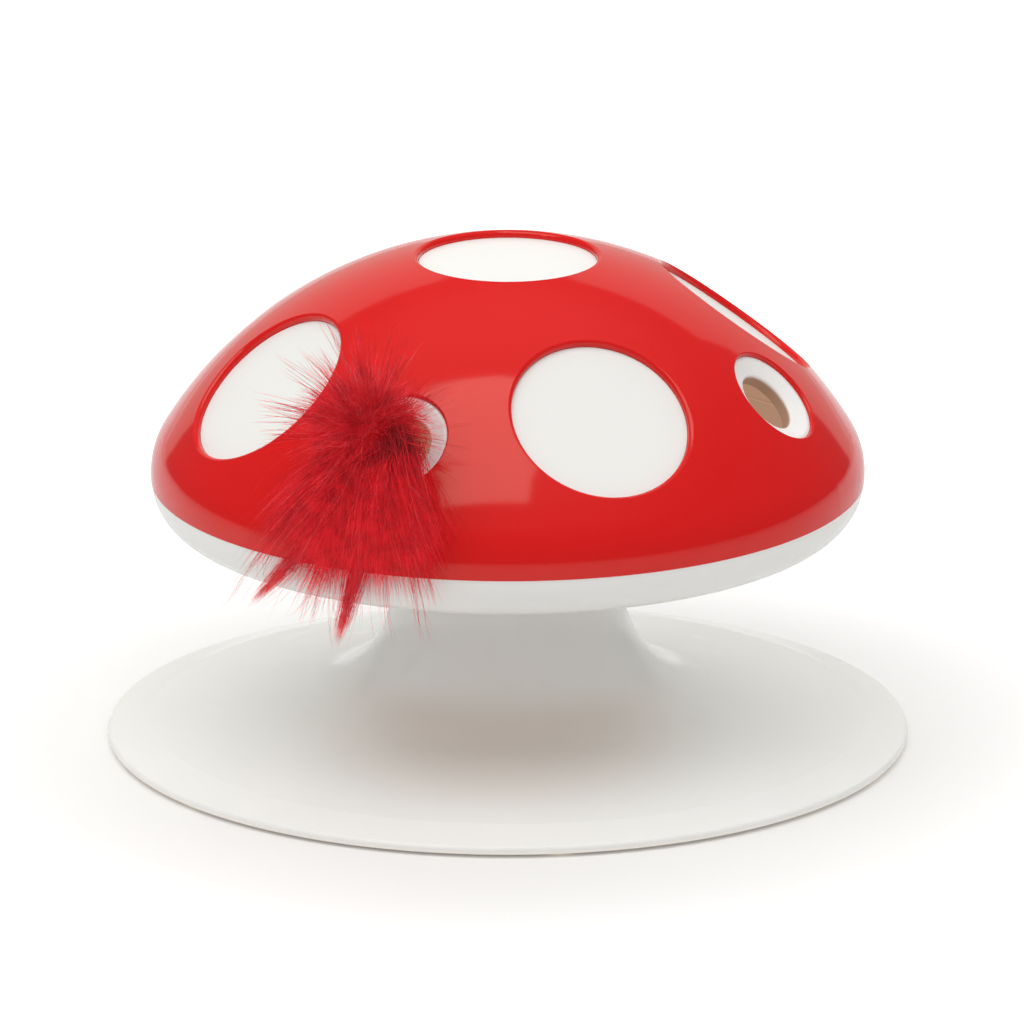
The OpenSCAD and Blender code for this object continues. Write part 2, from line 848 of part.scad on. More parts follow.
module clutch_washer() {
    color(dark) translate([0, 0, seat_z]) difference() {
        cylinder(h = washer_t - seat_gap, r = washer_r);
        translate([0, 0, -cut]) cylinder(h = washer_t + 2 * cut, r = neck_r + seat_gap);
    }
}

module neck_clip() {
    color(steel) translate([0, 0, clip_z]) difference() {
        cylinder(h = clip_t, r = neck_r + clip_w);
        translate([0, 0, -cut]) cylinder(h = clip_t + 2 * cut, r = neck_r + seat_gap / 2);
    }
}

module output_shaft() {
    color(steel) translate([0, 0, shaft_z]) cylinder(h = shaft_top - shaft_z, r = shaft_r);
}

// One pinion tooth as an outline, pointing along +X
module tooth_outline() {
    start_r = max(gear_root_r, gear_base_r);
    radii = [for (i = [0 : flank_steps]) start_r + (gear_tip_r - start_r) * i / flank_steps];
    foot_a = tooth_a(start_r);
    upper = [for (r = radii) polar([0, 0], r, tooth_a(r))];
    lower = [for (i = [flank_steps : -1 : 0]) polar([0, 0], radii[i], -tooth_a(radii[i]))];
    inner_r = gear_root_r - tooth_m;
    polygon(concat([polar([0, 0], inner_r, -foot_a), polar([0, 0], inner_r, foot_a)], upper, lower));
}

module feed_pinion() {
    color(ivory) difference() {
        translate([0, 0, rack_z]) {
            cylinder(h = rack_h, r = gear_root_r);
            linear_extrude(rack_h)
                for (i = [0 : pinion_teeth - 1]) rotate(360 * i / pinion_teeth) tooth_outline();
        }
        translate([0, 0, rack_z - cut]) cylinder(h = rack_h + 2 * cut, r = shaft_r);
    }
}

// Carrier

module carrier() {
    far_x = fence_out_x + fence_w;
    color(ivory) difference() {
        union() {
            translate([0, 0, plate_z]) cylinder(h = plate_t, r = plate_r);
            translate([0, 0, hub_z]) cylinder(h = hub_top - hub_z, r = hub_r);
            guide_rail(rail_front_y, -fence_clear_y);
            guide_rail(fence_clear_y, rail_back_y);
            translate([gear_tip_r, -fence_clear_y - cut, rail_z])
                cube([far_x - gear_tip_r, 2 * (fence_clear_y + cut), rail_top - rail_z]);
            translate([fence_out_x, rail_front_y, rail_z])
                cube([fence_w, rail_back_y - rail_front_y, cover_z - rail_z]);
        }
        translate([0, 0, hub_z - cut]) cylinder(h = hub_top - hub_z + 2 * cut, r = neck_r + run_gap);
        rotate([0, 0, detent_turn]) translate([detent_place_r, 0, 0])
            box_block(detent_window, plate_z - cut, plate_t + 2 * cut);
        cover_screw_places() translate([0, 0, cover_z - cover_screw_l])
            cylinder(h = cover_screw_l + cut, r = cover_screw_r + seat_gap);
    }
}

// Floor and inner fence of the rack's channel between two places along it
module guide_rail(y0, y1) {
    translate([fence_in_x - fence_w, y0, rail_z])
        cube([fence_out_x - fence_in_x + 2 * fence_w, y1 - y0, rail_top - rail_z]);
    translate([fence_in_x - fence_w, y0, rail_top - cut])
        cube([fence_w, y1 - y0, cover_z - rail_top + cut]);
}

module cover_screw_places() {
    for (x = [fence_in_x - fence_w / 2, fence_out_x + fence_w / 2])
        for (y = [rail_front_y + cover_screw_in, rail_back_y - cover_screw_in])
            translate([x, y, 0]) children();
}

module carrier_cover() {
    color(ivory) difference() {
        translate([cover_left_x, rail_front_y, cover_z])
            cube([fence_out_x + fence_w - cover_left_x, rail_back_y - rail_front_y, cover_t]);
        translate([0, 0, cover_z - cut]) cylinder(h = cover_t + 2 * cut, r = shaft_r + run_gap);
        cover_screw_places() translate([0, 0, cover_z - cut])
            cylinder(h = cover_t + 2 * cut, r = cover_screw_r + seat_gap);
    }
}

module cover_screws() {
    color(steel) cover_screw_places() translate([0, 0, cover_z + cover_t])
        mirror([0, 0, 1]) screw(cover_screw_r, cover_screw_l);
}

// Leaf under the carrier whose ball rests in a dimple of the gear housing
module detent_spring() {
    color(steel) {
        rotate([0, 0, detent_turn]) translate([detent_place_r, 0, 0])
            box_block(detent_leaf, plate_z - detent_leaf_t, detent_leaf_t);
        detent_place(detent_turn) sphere(detent_ball_r);
    }
}

// Wand

// Rack tooth on the pitch line, pointing towards the pinion
module rack_tooth() {
    half = rack_pitch / 4 - rack_backlash;
    wide = half + tooth_root * tan(pressure_a);
    narrow = half - tooth_m * tan(pressure_a);
    polygon([
        [rack_root_x + cut, wide], [rack_root_x, wide], [pitch_r - tooth_m, narrow],
        [pitch_r - tooth_m, -narrow], [rack_root_x, -wide], [rack_root_x + cut, -wide]
    ]);
}

module wand_rack() {
    front_y = post_y - block_l / 2;
    color(white) difference() {
        translate([0, 0, rack_z]) linear_extrude(rack_h) {
            translate([rack_root_x, front_y]) square([rack_back_x - rack_root_x, rack_tail_y - front_y]);
            translate([block_x, front_y]) square([rack_back_x - block_x, block_l]);
            for (i = [0 : rack_teeth - 1]) translate([0, (rack_first - i) * rack_pitch]) rack_tooth();
        }
        on_dome(hole_tilt, 0) translate([0, 0, post_d - block_l])
            cylinder(h = 2 * block_l, r = post_r + seat_gap / 2);
    }
}

module wand_post() {
    start_d = post_d - rack_h / 2;
    color(steel) on_dome(hole_tilt, 0) translate([0, 0, start_d])
        cylinder(h = post_end_d - start_d, r = post_r);
}

module feather_ferrule() {
    color(brass) on_dome(hole_tilt, 0) translate([0, 0, ferrule_tip_d - ferrule_l]) difference() {
        cylinder(h = ferrule_l, r = post_r + ferrule_wall);
        translate([0, 0, -cut]) cylinder(h = ferrule_l + 2 * cut, r = post_r + seat_gap / 2);
    }
}

// Plume

// Ring of points round the plume's line; the hem hangs down in pointed tufts
function plume_ring(i) =
    let (
        p = plume_line[i],
        ahead = unit(plume_line[min(i + 1, plume_rows - 1)] - plume_line[max(i - 1, 0)]),
        across = [1, 0, 0],
        face = unit(cross(ahead, across)),
        hem = i == plume_rows - 1 ? tuft_l : 0,
        frill = i > 4 ? plume_frill : 0
    )
    [for (j = [0 : plume_sides - 1])
        let (
            a = 360 * j / plume_sides,
            swell = 1 + frill * cos(plume_sides / 2 * a),
            tuft = hem * (j % 4 == 2 ? 1 : j % 2 == 0 ? 0.35 : 0)
        )
        p + swell * (plume_half[i] * [cos(a) * across, sin(a) * face]) + tuft * ahead];

module feather_plume() {
    n = plume_sides;
    points = [for (i = [0 : plume_rows - 1]) each plume_ring(i)];
    last = (plume_rows - 1) * n;
    root_cap = [for (j = [1 : n - 2]) [0, j, j + 1]];
    sides = [for (i = [0 : plume_rows - 2], j = [0 : n - 1])
        let (a = i * n + j, b = i * n + (j + 1) % n)
        each [[a, a + n, b], [b, a + n, b + n]]];
    hem = [for (j = [0 : n / 2 - 1])
        let (a = last + j, b = last + j + 1, c = last + (n - j - 1) % n, d = last + (n - j) % n)
        each concat(
            j < n / 2 - 1 ? [[a, c, b]] : [[a, d, b]],
            j > 0 && j < n / 2 - 1 ? [[a, d, c]] : [])];
    color(crimson) polyhedron(points, concat(root_cap, sides, hem), convexity = 6);
}

cap_shell();
top_spot();
side_spot(0);  // side_spot_1
side_spot(1);  // side_spot_2
side_spot(2);  // side_spot_3
side_spot(3);  // side_spot_4
hole_ring(0);  // hole_ring_1
hole_ring(1);  // hole_ring_2
hole_ring(2);  // hole_ring_3
hole_ring(3);  // hole_ring_4
lower_shell();
cap_screws();
stem_base();
stem_screws();
rubber_feet();
battery_box();
box_screws();
battery_cells();
contact_plates();
battery_door();
switch_body();
switch_knob();
control_board();
board_screws();
gear_housing();
motor_can();
clutch_washer();
neck_clip();
output_shaft();
feed_pinion();
carrier();
carrier_cover();
cover_screws();
detent_spring();
wand_rack();
wand_post();
feather_ferrule();
feather_plume();
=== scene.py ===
import math

import bpy
import numpy as np
from mathutils import Matrix, Vector


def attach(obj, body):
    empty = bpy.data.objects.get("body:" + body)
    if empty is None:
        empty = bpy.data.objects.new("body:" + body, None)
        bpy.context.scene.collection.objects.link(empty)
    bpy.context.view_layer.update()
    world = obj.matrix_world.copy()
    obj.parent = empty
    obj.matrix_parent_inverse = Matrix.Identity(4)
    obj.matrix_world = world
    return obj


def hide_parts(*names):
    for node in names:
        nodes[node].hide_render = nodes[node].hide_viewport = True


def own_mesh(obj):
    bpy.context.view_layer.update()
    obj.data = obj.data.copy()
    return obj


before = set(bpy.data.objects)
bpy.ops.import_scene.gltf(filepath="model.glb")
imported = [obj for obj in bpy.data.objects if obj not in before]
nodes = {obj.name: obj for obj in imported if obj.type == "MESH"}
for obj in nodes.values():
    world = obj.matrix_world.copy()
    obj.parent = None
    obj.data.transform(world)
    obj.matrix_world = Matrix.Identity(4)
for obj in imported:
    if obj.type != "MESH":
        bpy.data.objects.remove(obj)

scene = bpy.context.scene
scene.view_settings.view_transform = "Standard"
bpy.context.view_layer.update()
print("frame loaded:", len(nodes), "nodes")


# camera

cameraLook = {
    "target": (0, 0, 0.075),  # middle of the toy
    "azimuth": 22.5,
    "elevation": 16.95,
    "distance": 5.0,
    "lens": 542.8,
    "sensor": 36,
    "clip": 50,
    "nudge": (0.00136, 0.00045),  # right and up, to set the toy in the frame
}


def lookAxes(azimuth, elevation):
    a = math.radians(azimuth)
    e = math.radians(elevation)
    back = Vector((math.sin(a) * math.cos(e), -math.cos(a) * math.cos(e), math.sin(e)))
    right = Vector((math.cos(a), math.sin(a), 0))
    return right, back.cross(right), back


def makeCamera(look):
    right, up, back = lookAxes(look["azimuth"], look["elevation"])
    data = bpy.data.cameras.new("photoCamera")
    data.lens = look["lens"]
    data.sensor_width = look["sensor"]
    data.clip_end = look["clip"]
    camera = bpy.data.objects.new("photoCamera", data)
    scene.collection.objects.link(camera)
    aim = Vector(look["target"]) + right * look["nudge"][0] + up * look["nudge"][1]
    camera.location = aim + back * look["distance"]
    camera.rotation_euler = (-back).to_track_quat("-Z", "Y").to_euler()
    scene.camera = camera


makeCamera(cameraLook)
print("camera set")


# shader helpers

falling = (1.0, 0.0)  # result of a range that fades out
noLight = (0.0, 0.0, 0.0)


def addNode(tree, kind, **settings):
    node = tree.nodes.new(kind)
    for name, value in settings.items():
        setattr(node, name, value)
    return node


def wire(tree, source, target):
    tree.links.new(source, target)


def feed(tree, value, socket):
    # a number or a colour is set on the socket, and an output is wired to it
    if isinstance(value, (int, float)):
        socket.default_value = value
    elif isinstance(value, tuple):
        socket.default_value = (*value, 1)
    else:
        wire(tree, value, socket)


def newGroup(name, inputs, outputs):
    tree = bpy.data.node_groups.new(name, "ShaderNodeTree")
    kinds = {"colour": "NodeSocketColor", "value": "NodeSocketFloat"}
    for label, kind, value in inputs:
        socket = tree.interface.new_socket(label, in_out="INPUT", socket_type=kinds[kind])
        socket.default_value = value
    for label, kind in outputs:
        tree.interface.new_socket(label, in_out="OUTPUT", socket_type=kinds[kind])
    return tree, addNode(tree, "NodeGroupInput"), addNode(tree, "NodeGroupOutput")


def mathNode(tree, operation, first, second):
    node = addNode(tree, "ShaderNodeMath", operation=operation)
    feed(tree, first, node.inputs[0])
    feed(tree, second, node.inputs[1])
    return node.outputs[0]


def noiseNode(tree, scale, detail=2.0, roughness=0.5, stretch=None):
    place = addNode(tree, "ShaderNodeTexCoord").outputs["Object"]
    if stretch:
        mapping = addNode(tree, "ShaderNodeMapping")
        mapping.inputs["Scale"].default_value = stretch
        wire(tree, place, mapping.inputs["Vector"])
        place = mapping.outputs["Vector"]
    noise = addNode(tree, "ShaderNodeTexNoise")
    wire(tree, place, noise.inputs["Vector"])
    noise.inputs["Detail"].default_value = detail
    noise.inputs["Roughness"].default_value = roughness
    feed(tree, scale, noise.inputs["Scale"])
    return noise.outputs["Fac"]


def mapRange(tree, value, span, result=(0.0, 1.0)):
    node = addNode(tree, "ShaderNodeMapRange", interpolation_type="SMOOTHSTEP")
    wire(tree, value, node.inputs["Value"])
    for label, number in zip(("From Min", "From Max", "To Min", "To Max"), (*span, *result)):
        node.inputs[label].default_value = number
    return node.outputs["Result"]


def mixColour(tree, factor, first, second):
    node = addNode(tree, "ShaderNodeMix", data_type="RGBA")
    for number, value in ((0, factor), (6, first), (7, second)):  # the colour sockets
        feed(tree, value, node.inputs[number])
    return node.outputs[2]


def shiftValue(tree, colour, level):
    node = addNode(tree, "ShaderNodeHueSaturation")
    wire(tree, colour, node.inputs["Color"])
    wire(tree, level, node.inputs["Value"])
    return node.outputs["Color"]


# moulded plastic, for every plastic, rubber and felt piece

skinLook = {
    "cloud": {"scale": 28.0, "detail": 3.0},  # slow drift of the resin, a few centimetres wide
    "speck": {"scale": 420.0},
    "speckShare": 0.3,
    "middle": 0.65,  # of cloud and speck together, where the tint stays as it is
    "rub": {"scale": 60.0, "detail": 5.0, "roughness": 0.65, "stretch": (1, 1, 7)},
    "rubSpan": (0.56, 0.74),  # long faint handling marks
    "grainDetail": 3.0,
    "grainDepth": 0.0002,
}


def mouldedSkinGroup(look):
    tree, entry, leave = newGroup(
        "mouldedSkin",
        [("Tint", "colour", (0.8, 0.8, 0.8, 1)), ("Mottle", "value", 0.04),
         ("Rough", "value", 0.2), ("Texture Scale", "value", 900.0), ("Scuff", "value", 0.05)],
        [("Colour", "colour"), ("Roughness", "value"), ("Height", "value")])
    given = entry.outputs
    cloud = noiseNode(tree, **look["cloud"])
    speck = noiseNode(tree, **look["speck"])
    drift = mathNode(tree, "ADD", cloud, mathNode(tree, "MULTIPLY", speck, look["speckShare"]))
    drift = mathNode(tree, "SUBTRACT", drift, look["middle"])
    level = mathNode(tree, "ADD", mathNode(tree, "MULTIPLY", drift, given["Mottle"]), 1.0)
    wire(tree, shiftValue(tree, given["Tint"], level), leave.inputs["Colour"])
    mark = mapRange(tree, noiseNode(tree, **look["rub"]), look["rubSpan"])
    scuff = mathNode(tree, "MULTIPLY", mark, given["Scuff"])
    wire(tree, mathNode(tree, "ADD", given["Rough"], scuff), leave.inputs["Roughness"])
    grain = noiseNode(tree, given["Texture Scale"], look["grainDetail"])
    wire(tree, grain, leave.inputs["Height"])
    return tree


# plated metal, for screws, shafts and contacts

platingLook = {
    "blotch": {"scale": 160.0, "detail": 4.0, "roughness": 0.6},
    "blotchSpan": (0.5, 0.8),
    "lines": {"scale": 900.0, "stretch": (1, 1, 0.06)},  # drawn and turned marks
    "lineRough": 0.18,
    "lineBump": 0.15,
    "lineDepth": 0.0001,
}


def platedMetalGroup(look):
    tree, entry, leave = newGroup(
        "platedMetal",
        [("Tint", "colour", (0.6, 0.6, 0.6, 1)), ("Tarnish", "colour", (0.3, 0.3, 0.3, 1)),
         ("Rough", "value", 0.3)],
        [("Colour", "colour"), ("Roughness", "value"), ("Height", "value")])
    given = entry.outputs
    blotch = mapRange(tree, noiseNode(tree, **look["blotch"]), look["blotchSpan"])
    lines = noiseNode(tree, **look["lines"])
    wire(tree, mixColour(tree, blotch, given["Tint"], given["Tarnish"]), leave.inputs["Colour"])
    drawn = mathNode(tree, "MULTIPLY", lines, look["lineRough"])
    wire(tree, mathNode(tree, "ADD", given["Rough"], drawn), leave.inputs["Roughness"])
    wire(tree, lines, leave.inputs["Height"])
    return tree


mouldedSkin = mouldedSkinGroup(skinLook)
platedMetal = platedMetalGroup(platingLook)


def newMaterial(name):
    material = bpy.data.materials.new(name)
    material.use_nodes = True
    tree = material.node_tree
    tree.nodes.clear()
    shader = addNode(tree, "ShaderNodeBsdfPrincipled")
    surface = addNode(tree, "ShaderNodeOutputMaterial").inputs["Surface"]
    wire(tree, shader.outputs["BSDF"], surface)
    return material, tree, shader


def placeGroup(tree, group, values):
    node = addNode(tree, "ShaderNodeGroup", node_tree=group)
    for label, value in values.items():
        feed(tree, value, node.inputs[label])
    return node


def addBump(tree, shader, height, strength, depth):
    bump = addNode(tree, "ShaderNodeBump")
    bump.inputs["Strength"].default_value = strength
    bump.inputs["Distance"].default_value = depth
    wire(tree, height, bump.inputs["Height"])
    wire(tree, bump.outputs["Normal"], shader.inputs["Normal"])


# outer face of the cap, and the feather holes in it

capForm = {
    "crownZ": 0.034392,
    "crownR": 0.131,
    "crownTilt": 58.85,
    "shoulderR": 0.092,
    "shoulderZ": 0.09,
    "shoulderRound": 0.0235,
}
holeForm = {
    "tilt": 45.5,
    "ringFace": 0.1283,
    "bore": 0.0102,
    "pass": 0.8,  # share of the bore where strands run freely
    "flange": 0.0195,
    "ringDepth": (0.1215, 0.1286),
    "ferruleTip": (0, -0.0802, 0.1132),
}
holeTilt = math.radians(holeForm["tilt"])


def placeParts(tree):
    split = addNode(tree, "ShaderNodeSeparateXYZ")
    wire(tree, addNode(tree, "ShaderNodeNewGeometry").outputs["Position"], split.inputs[0])
    return split.outputs


def fromAxis(tree, middle=(0, 0)):
    # distance from an upright axis
    squares = []
    for part, offset in zip(placeParts(tree), middle):
        off = mathNode(tree, "SUBTRACT", part, offset)
        squares.append(mathNode(tree, "MULTIPLY", off, off))
    return mathNode(tree, "POWER", mathNode(tree, "ADD", *squares), 0.5)


def alongHole(tree):
    # height along the axis of the nearest hole
    x, y, z = placeParts(tree)
    out = mathNode(tree, "MAXIMUM", mathNode(tree, "ABSOLUTE", x, 0),
                   mathNode(tree, "ABSOLUTE", y, 0))
    rise = mathNode(tree, "SUBTRACT", z, capForm["crownZ"])
    return mathNode(tree, "ADD", mathNode(tree, "MULTIPLY", out, math.sin(holeTilt)),
                    mathNode(tree, "MULTIPLY", rise, math.cos(holeTilt)))


def facingOut(tree):
    # 1 where a face looks away from the middle of the crown, -1 where it looks inward
    geometry = addNode(tree, "ShaderNodeNewGeometry")
    reach = addNode(tree, "ShaderNodeVectorMath", operation="SUBTRACT")
    wire(tree, geometry.outputs["Position"], reach.inputs[0])
    reach.inputs[1].default_value = (0, 0, capForm["crownZ"])
    away = addNode(tree, "ShaderNodeVectorMath", operation="NORMALIZE")
    wire(tree, reach.outputs[0], away.inputs[0])
    meet = addNode(tree, "ShaderNodeVectorMath", operation="DOT_PRODUCT")
    wire(tree, geometry.outputs["Normal"], meet.inputs[0])
    wire(tree, away.outputs[0], meet.inputs[1])
    return meet.outputs["Value"]


paintedInsideLightLook = {  # painted light inside the holes: a dim tan tint and a glow on inner faces, standing for light through the thin red shell
    "tint": (0.33, 0.212, 0.145),
    "glow": {"cap_red": 0.9, "ring_white": 0.3, "body_white": 0.9},
    "facing": (-0.5, -0.3),  # inner faces of the cap
    "boreDepth": (0.1250, 0.1262),  # along a hole, below the face of its ring
    "floorHeight": (0.078, 0.081),  # inside of the lower shell
    "floorReach": (0.1105, 0.1120),
}
paintedShadeUnderCapLook = {  # painted shade: darker, warmer colour on the base and stem under the cap
    "tint": (0.80, 0.735, 0.68),
    "stem": (0.043, 0.056),
    "onStem": 0.15,
    "middle": (0.016, -0.040),
    "fade": (0.02, 0.078),
}
paintedRimLightLook = {  # painted light: a glow on the low edge of the base and on the feet, standing for light thrown up by the paper
    "slots": ("body_white", "rubber"),
    "tint": (0.27, 0.22, 0.175),
    "fade": (0.0006, 0.0032),
    "edge": (0.1265, 0.1290),
}


# where the painted inside light goes: inner faces of the cap, bores of the rings, floor of the
# lower shell
def paintedInsideLightMask(tree, slot):
    if slot == "cap_red":
        return mapRange(tree, facingOut(tree), paintedInsideLightLook["facing"], falling)
    if slot == "ring_white":
        return mapRange(tree, alongHole(tree), paintedInsideLightLook["boreDepth"], falling)
    above = mapRange(tree, placeParts(tree)[2], paintedInsideLightLook["floorHeight"])
    within = mapRange(tree, fromAxis(tree), paintedInsideLightLook["floorReach"], falling)
    return mathNode(tree, "MULTIPLY", above, within)


# where the painted shade under the cap goes, lighter on the stem
def paintedShadeUnderCapMask(tree):
    offStem = mapRange(tree, fromAxis(tree), paintedShadeUnderCapLook["stem"], (paintedShadeUnderCapLook["onStem"], 1.0))
    near = mapRange(tree, fromAxis(tree, paintedShadeUnderCapLook["middle"]), paintedShadeUnderCapLook["fade"], falling)
    return mathNode(tree, "MULTIPLY", offStem, near)


# where the painted rim light goes: low faces, and on the base only its outer edge
def paintedRimLightMask(tree, slot):
    low = mapRange(tree, placeParts(tree)[2], paintedRimLightLook["fade"], falling)
    if slot != "body_white":
        return low
    return mathNode(tree, "MULTIPLY", low, mapRange(tree, fromAxis(tree), paintedRimLightLook["edge"]))


def plasticMaterial(slot, look):
    material, tree, shader = newMaterial(slot + "Finish")
    skin = placeGroup(tree, mouldedSkin, {
        "Tint": look["tint"], "Mottle": look["mottle"], "Rough": look["rough"],
        "Texture Scale": look["texture"], "Scuff": look["scuff"]})
    colour = skin.outputs["Colour"]
    glow = noLight
    # painted light inside the holes: tan tint and glow on the inner faces
    if slot in paintedInsideLightLook["glow"]:
        inside = paintedInsideLightMask(tree, slot)
        colour = mixColour(tree, inside, colour, paintedInsideLightLook["tint"])
        paintedGlow = tuple(part * paintedInsideLightLook["glow"][slot] for part in paintedInsideLightLook["tint"])
        glow = mixColour(tree, inside, noLight, paintedGlow)
    # painted shade under the cap
    if slot == "body_white":
        colour = mixColour(tree, paintedShadeUnderCapMask(tree), colour, paintedShadeUnderCapLook["tint"])
    # painted light from the paper on the rim and the feet
    if slot in paintedRimLightLook["slots"]:
        glow = mixColour(tree, paintedRimLightMask(tree, slot), glow, paintedRimLightLook["tint"])
    if glow is not noLight:
        wire(tree, glow, shader.inputs["Emission Color"])
        shader.inputs["Emission Strength"].default_value = 1
    wire(tree, colour, shader.inputs["Base Color"])
    wire(tree, skin.outputs["Roughness"], shader.inputs["Roughness"])
    shader.inputs["Specular IOR Level"].default_value = look["specular"]
    if "mirrorTint" in look:
        shader.inputs["Specular Tint"].default_value = (*look["mirrorTint"], 1)
    addBump(tree, shader, skin.outputs["Height"], look["bump"], skinLook["grainDepth"])
    return material


def metalMaterial(slot, look):
    material, tree, shader = newMaterial(slot + "Finish")
    skin = placeGroup(tree, platedMetal, look)
    wire(tree, skin.outputs["Colour"], shader.inputs["Base Color"])
    wire(tree, skin.outputs["Roughness"], shader.inputs["Roughness"])
    shader.inputs["Metallic"].default_value = 1
    addBump(tree, shader, skin.outputs["Height"], platingLook["lineBump"],
            platingLook["lineDepth"])
    return material


# finishes of the rigid pieces, by the record's slots

plasticLooks = {
    "cap_red": {
        "tint": (0.69, 0.0105, 0.0115), "mottle": 0.05, "rough": 0.09, "texture": 260.0,
        "scuff": 0.05, "specular": 0.45, "bump": 0.008, "mirrorTint": (1.0, 0.97, 0.82)},
    "spot_white": {
        "tint": (0.84, 0.845, 0.825), "mottle": 0.03, "rough": 0.36, "texture": 1500.0,
        "scuff": 0.08, "specular": 0.4, "bump": 0.05},
    "ring_white": {
        "tint": (0.90, 0.90, 0.89), "mottle": 0.03, "rough": 0.22, "texture": 900.0,
        "scuff": 0.06, "specular": 0.45, "bump": 0.04},
    "body_white": {
        "tint": (0.88, 0.88, 0.865), "mottle": 0.03, "rough": 0.19, "texture": 240.0,
        "scuff": 0.06, "specular": 0.35, "bump": 0.008},
    "door_white": {
        "tint": (0.8, 0.79, 0.76), "mottle": 0.05, "rough": 0.42, "texture": 1800.0,
        "scuff": 0.1, "specular": 0.4, "bump": 0.25},
    "inner_ivory": {
        "tint": (0.66, 0.55, 0.42), "mottle": 0.08, "rough": 0.5, "texture": 900.0,
        "scuff": 0.1, "specular": 0.35, "bump": 0.15},
    "nylon": {
        "tint": (0.8, 0.77, 0.68), "mottle": 0.06, "rough": 0.38, "texture": 700.0,
        "scuff": 0.12, "specular": 0.4, "bump": 0.1},
    "rubber": {
        "tint": (0.62, 0.6, 0.56), "mottle": 0.1, "rough": 0.6, "texture": 2200.0,
        "scuff": 0.1, "specular": 0.3, "bump": 0.4},
    "cell_jacket": {
        "tint": (0.09, 0.11, 0.13), "mottle": 0.1, "rough": 0.28, "texture": 500.0,
        "scuff": 0.15, "specular": 0.5, "bump": 0.05},
    "switch_black": {
        "tint": (0.028, 0.028, 0.03), "mottle": 0.2, "rough": 0.45, "texture": 1800.0,
        "scuff": 0.1, "specular": 0.4, "bump": 0.2},
    "knob_red": {
        "tint": (0.55, 0.018, 0.02), "mottle": 0.08, "rough": 0.4, "texture": 1500.0,
        "scuff": 0.12, "specular": 0.4, "bump": 0.15},
    "board_green": {
        "tint": (0.02, 0.14, 0.05), "mottle": 0.25, "rough": 0.35, "texture": 1200.0,
        "scuff": 0.1, "specular": 0.5, "bump": 0.15},
    "felt": {
        "tint": (0.12, 0.11, 0.1), "mottle": 0.5, "rough": 0.95, "texture": 2600.0,
        "scuff": 0.0, "specular": 0.1, "bump": 0.9},
}
metalLooks = {
    "steel": {"Tint": (0.62, 0.63, 0.65), "Tarnish": (0.42, 0.42, 0.43), "Rough": 0.22},
    "contact_brass": {"Tint": (0.72, 0.54, 0.24), "Tarnish": (0.42, 0.28, 0.1), "Rough": 0.2},
}

finishes = {slot: plasticMaterial(slot, look) for slot, look in plasticLooks.items()}
finishes.update({slot: metalMaterial(slot, look) for slot, look in metalLooks.items()})
for node in nodes.values():
    slot = node.data.materials[0].name.split(".")[0]
    if slot in finishes:
        node.material_slots[0].material = finishes[slot]
print("finishes placed:", len(finishes))


# plume of dyed marabou feathers

plumeLook = {
    "seed": 41,
    "points": 7,  # along each strand
    "sides": 3,
    "taper": (1.5, 0.75),  # how late and how far a strand thins toward its tip
    "clear": 0.0004,  # least room between a strand and the cap or the ring
    "tuftsAcross": 4,
    "tuftsDown": 6,
    "keep": 0.06,  # of a tuft's length when the wand is drawn in
    "dye": {"pale": (0.75, 1.0), "middle": (0.25, 0.62)},
    "heart": (-0.001, -0.100, 0.118),  # the soft shading points away from here
    "paintedShadeHollows": [  # painted shade in the dark places between the ball, the fan and the hole
        {"middle": (0.0105, -0.114, 0.1310), "reach": (0.003, 0.011), "least": 0.08},
        {"middle": (0.0040, -0.119, 0.1285), "reach": (0.001, 0.008), "least": 0.35},
    ],
}
tuftForm = {  # how a strand keeps to its lane and strays from it
    "cut": (0.72, 1.0),  # length of each strand, of the whole tuft
    "root": (0.6, 0.8),
    "bend": (1.0, 0.3),
    "tip": (0.8, 0.6),
    "waves": (3, 8),
    "phase": (0, 6),
    "waveSize": 0.0010,
}

holeAxis = np.array([0, -math.sin(holeTilt), math.cos(holeTilt)])
crownCentre = np.array([0, 0, capForm["crownZ"]])
holeMouth = crownCentre + holeAxis * holeForm["ringFace"]
ferruleTip = np.array(holeForm["ferruleTip"])
rng = np.random.default_rng(plumeLook["seed"])
strandSets = []  # paths, thickness at the root, shade


def unit(vectors):
    return vectors / np.maximum(np.linalg.norm(vectors, axis=-1, keepdims=True), 1e-12)


def randomUnits(count):
    return unit(rng.normal(size=(count, 3)))


def bezier(controls, share):
    # controls (strands, n, 3), share (k,)
    n = controls.shape[1] - 1
    weights = np.array([math.comb(n, i) * share ** i * (1 - share) ** (n - i)
                        for i in range(n + 1)])
    return np.einsum("ik,sid->skd", weights, controls)


def clearOfCap(points, room):
    # points under the cap's outer face are pushed out, but not those in the bore of the hole
    flat = points.reshape(-1, 3).copy()
    fromCrown = flat - crownCentre
    reach = np.linalg.norm(fromCrown, axis=1)
    onCrown = fromCrown[:, 2] > reach * math.cos(math.radians(capForm["crownTilt"]))
    radial = np.hypot(flat[:, 0], flat[:, 1])
    ringPoint = np.column_stack([
        flat[:, 0] / radial * capForm["shoulderR"], flat[:, 1] / radial * capForm["shoulderR"],
        np.full(len(flat), capForm["shoulderZ"])])
    fromRing = flat - ringPoint
    ringReach = np.linalg.norm(fromRing, axis=1)
    depth = np.where(onCrown, reach - capForm["crownR"], ringReach - capForm["shoulderRound"])
    outward = np.where(onCrown[:, None], unit(fromCrown), unit(fromRing))
    inside = ~onCrown & (radial < capForm["shoulderR"])
    along = fromCrown @ holeAxis
    offAxis = np.linalg.norm(fromCrown - along[:, None] * holeAxis, axis=1)
    inBore = offAxis < holeForm["bore"] * holeForm["pass"]
    push = np.where(inBore | inside, 0, np.maximum(0, room - depth))
    return (flat + outward * push[:, None]).reshape(points.shape)


